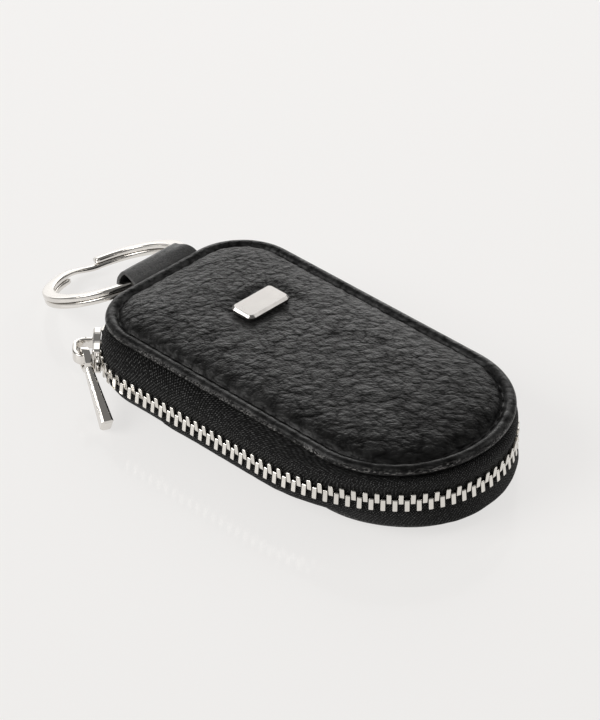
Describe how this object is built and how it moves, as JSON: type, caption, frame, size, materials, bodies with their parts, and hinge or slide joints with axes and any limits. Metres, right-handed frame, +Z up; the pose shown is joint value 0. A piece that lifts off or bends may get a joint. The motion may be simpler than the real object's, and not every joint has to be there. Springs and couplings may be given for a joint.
{
  "type": "zip-around key case",
  "caption": "Padded leather key case: two panels closed by a zip on three sides, with a slider, bail and pull, a leather spine as hinge, and a split ring held in a leather tab.",
  "frame": {"origin": "middle of the flat face that the closed case rests on, half way between nose and back edge", "axes": "+Z up, out of the padded top panel; +Y along the case to the spine and the split ring; +X across it, away from the side with the closed slider"},
  "size_m": [0.0578, 0.1144, 0.0183],
  "materials": {
    "leather": "black pebble-grained leather, semi-gloss",
    "tab_leather": "black fine-grained leather, matt",
    "tape": "black woven zip tape",
    "lining": "dark lining cloth",
    "board": "grey-brown stiffening board",
    "foam": "thin grey padding felt",
    "nickel": "polished nickel plating"
  },
  "bodies": {
    "case": {"bottom_cover": "leather", "bottom_padding": "foam", "bottom_board": "board", "bottom_lining": "lining", "lower_tape": "tape", "lower_teeth": "nickel", "lower_teeth_left_end": "nickel", "upper_tape_left_end": "tape", "upper_tape_right_end": "tape", "upper_teeth_left_end": "nickel", "upper_teeth_right_end": "nickel", "top_stops": "nickel", "bottom_stop": "nickel", "spine": "leather", "spine_lining": "lining", "ring_tab": "tab_leather"},
    "lid": {"top_cover": "leather", "top_padding": "foam", "top_board": "board", "top_lining": "lining", "badge_plate": "nickel", "upper_tape": "tape", "upper_teeth": "nickel"},
    "slider": {"slider_body": "nickel", "slider_bail": "nickel"},
    "pull": {"pull_tab": "nickel"},
    "ring": {"split_ring": "nickel"}
  },
  "joints": [
    {"name": "lid_hinge", "type": "hinge", "parent": "case", "child": "lid", "pos_m": [0, 0.0409, 0.0149], "axis": [-1, 0, 0], "range_deg": [0, 95]},
    {"name": "slider_travel", "type": "hinge", "parent": "case", "child": "slider", "pos_m": [-0.0092, 0.026, 0.0088], "axis": [0, 0, 1], "range_deg": [0, 26], "deforming": ["upper_teeth_left_end", "lower_teeth_left_end"]},
    {"name": "pull_swing", "type": "hinge", "parent": "slider", "child": "pull", "pos_m": [-0.02486, 0.0377, 0.0088], "axis": [-0.9063, 0.4226, 0], "range_deg": [-50, 130]},
    {"name": "ring_swing", "type": "hinge", "parent": "case", "child": "ring", "pos_m": [0.00095, 0.0453, 0.0127], "axis": [1, 0, 0], "range_deg": [-60, 85]}
  ]
}
